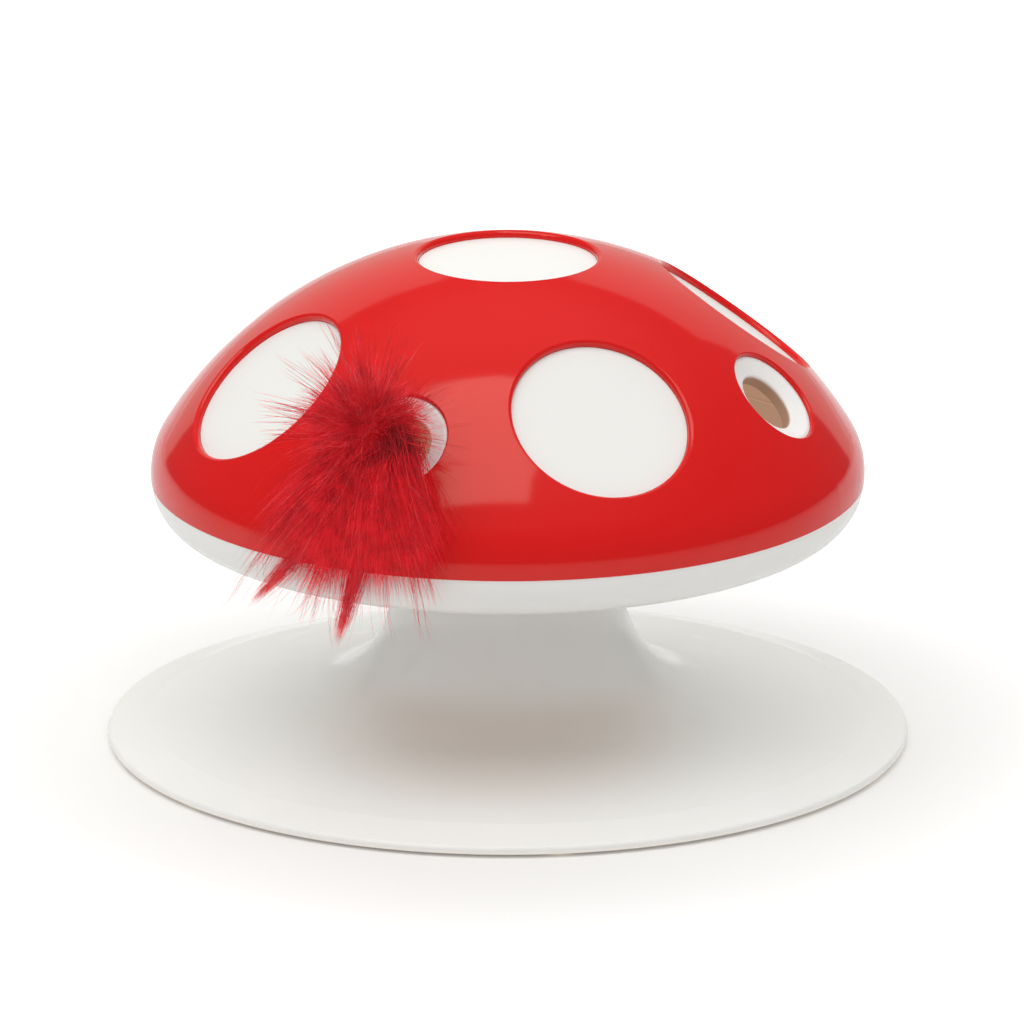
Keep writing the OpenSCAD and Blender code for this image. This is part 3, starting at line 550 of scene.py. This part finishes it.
def clearOfRing(paths, room):
    # strands that would cut through the ring of the hole are left out
    share = np.linspace(0, 1, 6)[None, None, :-1, None]
    steps = paths[:, :-1, None] * (1 - share) + paths[:, 1:, None] * share
    reach = steps.reshape(len(paths), -1, 3) - crownCentre
    along = reach @ holeAxis
    offAxis = np.linalg.norm(reach - along[:, :, None] * holeAxis, axis=2)
    low, high = holeForm["ringDepth"]
    cut = (along > low) & (along < high)
    cut &= (offAxis > holeForm["bore"] - room) & (offAxis < holeForm["flange"])
    return ~cut.any(axis=1)


def keepStrands(paths, thickness, shade):
    paths = clearOfCap(paths, plumeLook["clear"])
    kept = clearOfRing(paths, plumeLook["clear"])
    strandSets.append((paths[kept], np.full(kept.sum(), thickness), shade[kept]))


def shadeMix(count, pale):
    # mostly the middle of the dye, with a share of pale strands
    dye = plumeLook["dye"]
    return np.where(rng.uniform(size=count) < pale, rng.uniform(*dye["pale"], count),
                    rng.uniform(*dye["middle"], count))


def makeTufts(roots, bends, tips, look):
    # strands of one tuft run side by side from its root to its tip
    count = look["strands"]
    rootSpread, bendSpread, tipSpread = look["spreads"]
    share = np.linspace(0, 1, plumeLook["points"])
    for root, bend, tip in zip(roots, bends, tips):
        lane = rng.normal(size=(count, 3))
        stray = rng.normal(size=(count, 3))
        cut = rng.uniform(*tuftForm["cut"], (count, 1))
        atRoot, atBend, atTip = (lane * tuftForm[part][0] + stray * tuftForm[part][1]
                                 for part in ("root", "bend", "tip"))
        start = root + atRoot * rootSpread
        middle = bend + atBend * bendSpread
        end = bend + (tip - bend) * cut + atTip * tipSpread
        turns = rng.uniform(*tuftForm["waves"], (count, 1))
        wave = np.sin(share * turns + rng.uniform(*tuftForm["phase"], (count, 1)))
        sway = (wave * share * tuftForm["waveSize"])[:, :, None]
        paths = bezier(np.stack([start, middle, end], axis=1), share)
        paths = paths + unit(np.cross(tip - root, stray))[:, None] * sway
        shade = np.clip(shadeMix(count, look["pale"]) * rng.uniform(*look["tone"]), 0, 1)
        keepStrands(paths, look["thickness"], shade)


fanLook = {  # the skirt that hangs over the shoulder of the cap
    "tufts": 76,
    "apex": (0.0045, -0.112, 0.1275),
    "spread": (0.0045, 0.002, 0.0035),
    "angles": (-49, 27),  # from straight down, left and right
    "angleStray": 0.05,
    "reach": 0.044,
    "sideReach": 0.30,  # more to the left
    "reachShare": (0.55, 1.08),
    "shoulder": 0.1165,  # radius that the ends lie on
    "gap": (0.001, 0.009),
    "bendShares": (0.55, 0.45),  # of apex and end
    "bowOut": (0.006, 0.6),  # a fixed part, and a share of the gap
    "bowUp": (0.005, 0.2),
    "shaft": {"stray": 0.0008, "thickness": 0.00024, "shade": (0.3, 0.6)},
    "barbs": {"strands": 100, "spreads": (0.0022, 0.0032, 0.0034), "thickness": 0.00015,
              "pale": 0.07, "tone": (0.8, 1.15)},
    "hem": {"tufts": 60, "past": (0.15, 0.6), "bendStray": 0.002, "tipStray": 0.003,
            "strands": 5, "spreads": (0.0015, 0.0015, 0.0022), "thickness": 0.00013,
            "pale": 0.25, "tone": (0.9, 1.1)},
}


def makeFan(look):
    count = look["tufts"]
    low, high = np.radians(look["angles"])
    angle = np.linspace(low, high, count) + rng.normal(size=count) * look["angleStray"]
    longer = 1 + look["sideReach"] * np.maximum(-angle, 0)
    reach = look["reach"] * longer * rng.uniform(*look["reachShare"], count)
    apex = np.array(look["apex"]) + rng.normal(size=(count, 3)) * np.array(look["spread"])
    flat = np.zeros(count)
    end = apex + np.column_stack([np.sin(angle) * reach, flat, -np.cos(angle) * reach])
    gap = rng.uniform(*look["gap"], count)
    end[:, 1] = -np.sqrt((look["shoulder"] + gap) ** 2 - end[:, 0] ** 2)
    out, up = (fixed + gap * part for fixed, part in (look["bowOut"], look["bowUp"]))
    fromApex, fromEnd = look["bendShares"]
    bend = apex * fromApex + end * fromEnd + np.column_stack([flat, -out, up])
    shaft = look["shaft"]
    stems = np.tile(np.stack([ferruleTip, holeMouth]), (count, 1, 1))
    stems = stems + rng.normal(size=(count, 2, 3)) * shaft["stray"]
    share = np.linspace(0, 1, plumeLook["points"] - 2)
    quills = bezier(np.stack([apex, bend, end], axis=1), share)
    keepStrands(np.concatenate([stems, quills], axis=1), shaft["thickness"],
                rng.uniform(*shaft["shade"], count))
    makeTufts(apex, bend, end, look["barbs"])
    hem = look["hem"]  # long soft hairs past the lower edge
    picked = rng.integers(0, count, hem["tufts"])
    start, turn = bend[picked], end[picked]
    past = turn + (turn - start) * rng.uniform(*hem["past"], (len(picked), 1))
    turn = turn + rng.normal(size=(len(picked), 3)) * hem["bendStray"]
    past = past + rng.normal(size=(len(picked), 3)) * hem["tipStray"]
    makeTufts(start, turn, past, hem)


bladeLook = {  # two long feathers whose barbs close to a point
    "shapes": [
        {"root": (-0.007, -0.119, 0.112), "bend": (-0.020, -0.122, 0.094),
         "tip": (-0.0415, -0.1155, 0.0720)},
        {"root": (0.001, -0.119, 0.104), "bend": (-0.001, -0.123, 0.088),
         "tip": (-0.0098, -0.1195, 0.0628)},
    ],
    "barbs": {"strands": 170, "spreads": (0.0012, 0.0021, 0.0004), "thickness": 0.00016,
              "pale": 0.4, "tone": (0.95, 1.2)},
    "loose": {"strands": 50, "spreads": (0.0016, 0.0034, 0.0016), "thickness": 0.00012,
              "pale": 0.4, "tone": (0.95, 1.2)},
}


def makeBlades(look):
    roots, bends, tips = (np.array([shape[part] for shape in look["shapes"]])
                          for part in ("root", "bend", "tip"))
    makeTufts(roots, bends, tips, look["barbs"])
    makeTufts(roots, bends, tips, look["loose"])


ballLook = {
    "middle": (-0.003, -0.107, 0.1335),
    "down": {"tufts": 190, "lean": (-0.15, -0.30, 0.12), "reach": (0.0135, 0.0225),
             "start": (0.0, 0.004), "bend": (0.62, 0.34), "tipAside": 0.26, "sag": 0.001,
             "strands": 42, "spreads": (0.0014, 0.0027, 0.0024), "thickness": 0.00015,
             "pale": 0.08, "tone": (1.1, 1.45)},
    "wisps": {"tufts": 84, "lean": (-0.30, -0.20, 0.25), "reach": (0.023, 0.041),
              "start": 0.006, "bend": (0.6, 0.08), "tipAside": 0.16, "sag": 0.0,
              "strands": 8, "spreads": (0.0010, 0.0010, 0.0012), "thickness": 0.00020,
              "pale": 0.1, "tone": (1.0, 1.3)},
}


def makeBurst(middle, look):
    # tufts that point all ways from the middle of the ball
    count = look["tufts"]
    away = unit(randomUnits(count) + np.array(look["lean"]))
    reach = rng.uniform(*look["reach"], (count, 1))
    side = unit(np.cross(away, randomUnits(count)))
    start = look["start"]
    if isinstance(start, tuple):
        start = rng.uniform(*start, (count, 1))
    bendOut, bendAside = look["bend"]
    bends = middle + away * reach * bendOut + side * reach * bendAside
    sag = np.array([0, 0, -look["sag"]])
    tips = middle + away * reach + side * reach * look["tipAside"] + sag
    makeTufts(middle + away * start, bends, tips, look)


def makeBall(look):
    middle = np.array(look["middle"])
    makeBurst(middle, look["down"])
    makeBurst(middle, look["wisps"])


mouthLook = {
    "down": {"strands": 1900, "depth": (-0.0135, 0.012), "lean": 0.35, "length": (0.006, 0.0105),
             "droop": 0.05, "curl": 0.3, "thickness": 0.00016, "pale": 0.05},
    "hairs": {"strands": 80, "depth": (0.002, 0.012), "lean": (0.75, -0.2, 0.35),
              "length": (0.014, 0.032), "droop": 0.0, "curl": 0.12, "thickness": 0.00013,
              "shade": (0.2, 0.5)},
    "waves": (3, 7),
    "waveSize": 0.03,  # of a strand's length
}


def strandPaths(roots, directions, lengths, droop, curl):
    share = np.linspace(0, 1, plumeLook["points"])[None, :, None]
    count = len(roots)
    side = unit(np.cross(directions, randomUnits(count)))
    bend = side * (rng.normal(size=(count, 1)) * curl)
    fall = np.array([0, 0, -1]) * droop
    length = lengths[:, None, None]
    path = roots[:, None] + directions[:, None] * length * share
    path = path + (bend[:, None] + fall) * length * share ** 2
    phase = rng.uniform(0, 2 * math.pi, (count, 1, 1))
    turns = rng.uniform(*mouthLook["waves"], (count, 1, 1))
    wave = np.sin(phase + share * turns) - np.sin(phase)
    return path + np.cross(directions, side)[:, None] * wave * length * mouthLook["waveSize"]


def makeMouth(look):
    down = look["down"]  # short fluff that fills the hole
    count = down["strands"]
    roots = holeMouth + holeAxis * rng.uniform(*down["depth"], (count, 1))
    away = unit(randomUnits(count) + holeAxis * down["lean"])
    lengths = rng.uniform(*down["length"], count)
    paths = strandPaths(roots, away, lengths, down["droop"], down["curl"])
    keepStrands(paths, down["thickness"], shadeMix(count, down["pale"]))
    hairs = look["hairs"]  # single hairs past its right rim
    count = hairs["strands"]
    away = unit(randomUnits(count) + np.array(hairs["lean"]))
    roots = holeMouth + holeAxis * rng.uniform(*hairs["depth"], (count, 1))
    lengths = rng.uniform(*hairs["length"], count)
    paths = strandPaths(roots, away, lengths, hairs["droop"], hairs["curl"])
    keepStrands(paths, hairs["thickness"], rng.uniform(*hairs["shade"], count))


def strandFaces(rings, sides):
    faces = [(0, 2, 1)]  # closes the root of a three-sided strand
    for level in range(rings - 1):
        for corner in range(sides):
            low = level * sides + corner
            lowNext = level * sides + (corner + 1) % sides
            faces += [(low, lowNext, lowNext + sides), (low, lowNext + sides, low + sides)]
    last = (rings - 1) * sides
    point = rings * sides
    faces += [(last + corner, last + (corner + 1) % sides, point) for corner in range(sides)]
    return np.array(faces)


def strandVerts(paths, thickness):
    # rings of corners along each path, and its last point as the tip
    strands, points = paths.shape[:2]
    sides = plumeLook["sides"]
    late, far = plumeLook["taper"]
    tangent = unit(np.gradient(paths, axis=1))
    chord = paths[:, -1] - paths[:, 0]
    bow = paths[:, points // 2] - paths[:, 0]
    spare = unit(np.cross(chord, np.array([0.31, 0.17, 0.93]))) * 1e-7  # for a straight strand
    flatSide = unit(np.cross(bow, chord) + spare)[:, None]
    first = unit(flatSide - tangent * np.sum(flatSide * tangent, axis=2, keepdims=True))
    second = np.cross(tangent, first)
    radius = thickness[:, None] * (1 - np.linspace(0, 1, points) ** late * far)[None, :] / 2
    corners = np.arange(sides) * 2 * math.pi / sides
    ring = (first[:, :-1, None] * np.cos(corners)[None, None, :, None]
            + second[:, :-1, None] * np.sin(corners)[None, None, :, None])
    ring = paths[:, :-1, None] + ring * radius[:, :-1, None, None]
    ring = ring.reshape(strands, (points - 1) * sides, 3)
    return np.concatenate([ring, paths[:, -1:]], axis=1).reshape(-1, 3)


def addAttribute(mesh, name, kind, values):
    field = {"FLOAT": "value", "FLOAT_VECTOR": "vector"}[kind]
    attribute = mesh.attributes.new(name, kind, "POINT")
    attribute.data.foreach_set(field, values.astype(np.float32).ravel())


def strandMesh(name, paths, thickness, shade):
    strands, points = paths.shape[:2]
    sides = plumeLook["sides"]
    rings = points - 1
    each = rings * sides + 1
    verts = strandVerts(paths, thickness)
    faces = strandFaces(rings, sides)[None] + (np.arange(strands) * each)[:, None, None]
    mesh = bpy.data.meshes.new(name)
    mesh.from_pydata(verts.tolist(), [], faces.reshape(-1, 3).tolist())
    # painted shade: strands near the hollows are darkened, on top of their dye tone
    lit = np.ones(len(verts))
    for paintedHollow in plumeLook["paintedShadeHollows"]:
        near = np.linalg.norm(verts - np.array(paintedHollow["middle"]), axis=1)
        lit = np.minimum(lit, np.interp(near, paintedHollow["reach"], (paintedHollow["least"], 1)))
    along = np.append(np.repeat(np.linspace(0, 1, points)[:-1], sides), 1.0)
    addAttribute(mesh, "strandDyeAndPaintedShade", "FLOAT", np.repeat(shade, each) * lit)
    addAttribute(mesh, "strandAlong", "FLOAT", np.tile(along, strands))
    addAttribute(mesh, "softNormal", "FLOAT_VECTOR", unit(verts - np.array(plumeLook["heart"])))
    mesh.shade_smooth()
    piece = bpy.data.objects.new(name, mesh)
    scene.collection.objects.link(piece)
    return piece


featherLook = {
    "deep": (0.16, 0.002, 0.006),
    "mid": (0.88, 0.013, 0.024),
    "pale": (0.95, 0.12, 0.14),
    "midSpan": (0.0, 0.55),  # of the strand's shade
    "paleSpan": (0.65, 1.0),
    "paleAlong": ((0.1, 0.9), (0.35, 1.0)),  # paler toward the tip
    "dye": {"scale": 190.0, "detail": 3.0},
    "dyeLevel": ((0.3, 0.7), (0.75, 1.15)),  # uneven dye
    "rough": 0.6,
    "specular": 0.25,
    "soft": 0.75,  # the plume shades as one soft mass
    "glow": ((0.35, 1.0), (0.17, 0.4)),  # stands for light through the thin barbs
}


def featherMaterial(look):
    material, tree, shader = newMaterial("marabouDown")
    shade, along, soft = (addNode(tree, "ShaderNodeAttribute", attribute_name=name).outputs
                          for name in ("strandDyeAndPaintedShade", "strandAlong", "softNormal"))
    body = mixColour(tree, mapRange(tree, shade["Fac"], look["midSpan"]), look["deep"], look["mid"])
    pale = mathNode(tree, "MULTIPLY", mapRange(tree, shade["Fac"], look["paleSpan"]),
                    mapRange(tree, along["Fac"], *look["paleAlong"]))
    tinted = mixColour(tree, pale, body, look["pale"])
    uneven = mapRange(tree, noiseNode(tree, **look["dye"]), *look["dyeLevel"])
    dyed = shiftValue(tree, tinted, uneven)
    wire(tree, dyed, shader.inputs["Base Color"])
    turned = addNode(tree, "ShaderNodeVectorTransform", vector_type="NORMAL",
                     convert_from="OBJECT", convert_to="WORLD")
    wire(tree, soft["Vector"], turned.inputs[0])
    blend = addNode(tree, "ShaderNodeMix", data_type="VECTOR")
    blend.inputs[0].default_value = look["soft"]
    wire(tree, addNode(tree, "ShaderNodeNewGeometry").outputs["Normal"], blend.inputs[4])
    wire(tree, turned.outputs[0], blend.inputs[5])
    wire(tree, blend.outputs[1], shader.inputs["Normal"])
    shader.inputs["Roughness"].default_value = look["rough"]
    shader.inputs["Specular IOR Level"].default_value = look["specular"]
    lit = shiftValue(tree, dyed, mapRange(tree, along["Fac"], *look["glow"]))
    wire(tree, lit, shader.inputs["Emission Color"])
    shader.inputs["Emission Strength"].default_value = 1
    return material


def makePlume(look):
    makeFan(fanLook)
    makeBlades(bladeLook)
    makeBall(ballLook)
    makeMouth(mouthLook)
    paths, thickness, shade = (np.concatenate(parts) for parts in zip(*strandSets))
    middle = paths.mean(axis=1) - ferruleTip
    bearing = np.arctan2(middle[:, 0], -middle[:, 1])
    height = np.arctan2(middle[:, 2], np.hypot(middle[:, 0], middle[:, 1]))
    marabou = featherMaterial(featherLook)
    columns = np.array_split(np.argsort(bearing, kind="stable"), look["tuftsAcross"])
    number = 0
    for column in columns:
        upward = column[np.argsort(height[column], kind="stable")]
        for picked in np.array_split(upward, look["tuftsDown"]):
            number += 1
            tuft = strandMesh(f"plumeTuft{number:02d}", paths[picked], thickness[picked],
                              shade[picked])
            tuft.data.materials.append(marabou)
            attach(tuft, "wand")
            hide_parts("feather_plume")
            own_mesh(tuft)
    print("plume:", len(paths), "strands in", number, "tufts")


makePlume(plumeLook)


# floor, lamps and world

floorLook = {
    "half": 4.0,
    "tint": (0.75, 0.75, 0.75),
    "rough": 0.9,
    "near": (1.0, 0.98, 0.95),
    "lift": (0.13, 0.6),  # near the toy, and where the paper burns out to white
    "fade": (0.13, 0.36),
}
panelLooks = {  # forward is toward the camera
    "overheadPanel": {
        "size": (1.35, 0.95), "forward": 0.44, "aside": -0.53, "height": 1.25,
        "power": 7.9, "tint": (1.0, 0.98, 0.95), "faces": "down", "mirrored": True},
    "backdropPanel": {
        "size": (2.5, 1.5), "forward": -1.7, "aside": 0.0, "height": 0.78,
        "power": 5.2, "tint": (1.0, 0.96, 0.86), "faces": "camera", "mirrored": True},
    "fillPanel": {  # bounced light, too soft to mirror
        "size": (2.2, 1.1), "forward": -1.15, "aside": 0.1, "height": 0.95,
        "power": 8.5, "tint": (1.0, 1.0, 1.0), "faces": "toy", "mirrored": False},
    "frontPanel": {
        "size": (1.0, 0.9), "forward": 0.5, "aside": 0.5, "height": 1.3,
        "power": 3.1, "tint": (1.0, 1.0, 1.0), "faces": "down", "mirrored": False},
}
worldLook = {
    "ambient": 0.61,
    "tint": (1.0, 0.995, 0.98),
    "mirrored": (0.12, 0.42),  # room in the gloss, level and straight up
    "mirroredSpan": (0.6, 0.95),
    "white": (1.0, 1.0, 1.0),
}


def makeFloor(look):
    half = look["half"]
    corners = [(-half, -half, 0), (half, -half, 0), (half, half, 0), (-half, half, 0)]
    mesh = bpy.data.meshes.new("studioFloor")
    mesh.from_pydata(corners, [], [(0, 1, 2, 3)])
    floor = bpy.data.objects.new("studioFloor", mesh)
    scene.collection.objects.link(floor)
    material, tree, shader = newMaterial("floorPaper")
    shader.inputs["Base Color"].default_value = (*look["tint"], 1)
    shader.inputs["Roughness"].default_value = look["rough"]
    shader.inputs["Specular IOR Level"].default_value = 0
    seen = addNode(tree, "ShaderNodeLightPath").outputs["Is Camera Ray"]
    away = addNode(tree, "ShaderNodeVectorMath", operation="LENGTH")
    wire(tree, addNode(tree, "ShaderNodeNewGeometry").outputs["Position"], away.inputs[0])
    near, far = look["lift"]
    burn = mapRange(tree, away.outputs["Value"], look["fade"])
    glow = mixColour(tree, burn, tuple(near * part for part in look["near"]), (far, far, far))
    wire(tree, mixColour(tree, seen, noLight, glow), shader.inputs["Emission Color"])
    shader.inputs["Emission Strength"].default_value = 1
    mesh.materials.append(material)


def makePanel(name, look):
    right, up, back = lookAxes(cameraLook["azimuth"], 0)
    place = back * look["forward"] + right * look["aside"] + up * look["height"]
    facing = {"down": -up, "camera": back, "toy": -place}[look["faces"]].normalized()
    data = bpy.data.lights.new(name, "AREA")
    data.shape = "RECTANGLE"
    data.size, data.size_y = look["size"]
    data.energy = look["power"]
    data.color = look["tint"]
    lamp = bpy.data.objects.new(name, data)
    scene.collection.objects.link(lamp)
    turn = Matrix((right, -facing.cross(right), -facing)).transposed()
    lamp.matrix_world = Matrix.Translation(place) @ turn.to_4x4()
    lamp.visible_glossy = look["mirrored"]


def makeWorld(look):
    world = bpy.data.worlds.new("studioWorld")
    scene.world = world
    world.use_nodes = True
    tree = world.node_tree
    tree.nodes.clear()
    ray = addNode(tree, "ShaderNodeLightPath").outputs
    split = addNode(tree, "ShaderNodeSeparateXYZ")
    wire(tree, addNode(tree, "ShaderNodeTexCoord").outputs["Generated"], split.inputs[0])
    room = mapRange(tree, split.outputs["Z"], look["mirroredSpan"], look["mirrored"])
    change = mathNode(tree, "SUBTRACT", room, look["ambient"])
    mixed = mathNode(tree, "MULTIPLY", ray["Is Glossy Ray"], change)
    level = mathNode(tree, "ADD", mixed, look["ambient"])
    level = mathNode(tree, "MAXIMUM", level, ray["Is Camera Ray"])
    shade = addNode(tree, "ShaderNodeBackground")
    tint = mixColour(tree, ray["Is Camera Ray"], look["tint"], look["white"])
    wire(tree, tint, shade.inputs["Color"])
    wire(tree, level, shade.inputs["Strength"])
    surface = addNode(tree, "ShaderNodeOutputWorld").inputs["Surface"]
    wire(tree, shade.outputs["Background"], surface)


makeFloor(floorLook)
for panelName, panelLook in panelLooks.items():
    makePanel(panelName, panelLook)
makeWorld(worldLook)
print("studio lit")
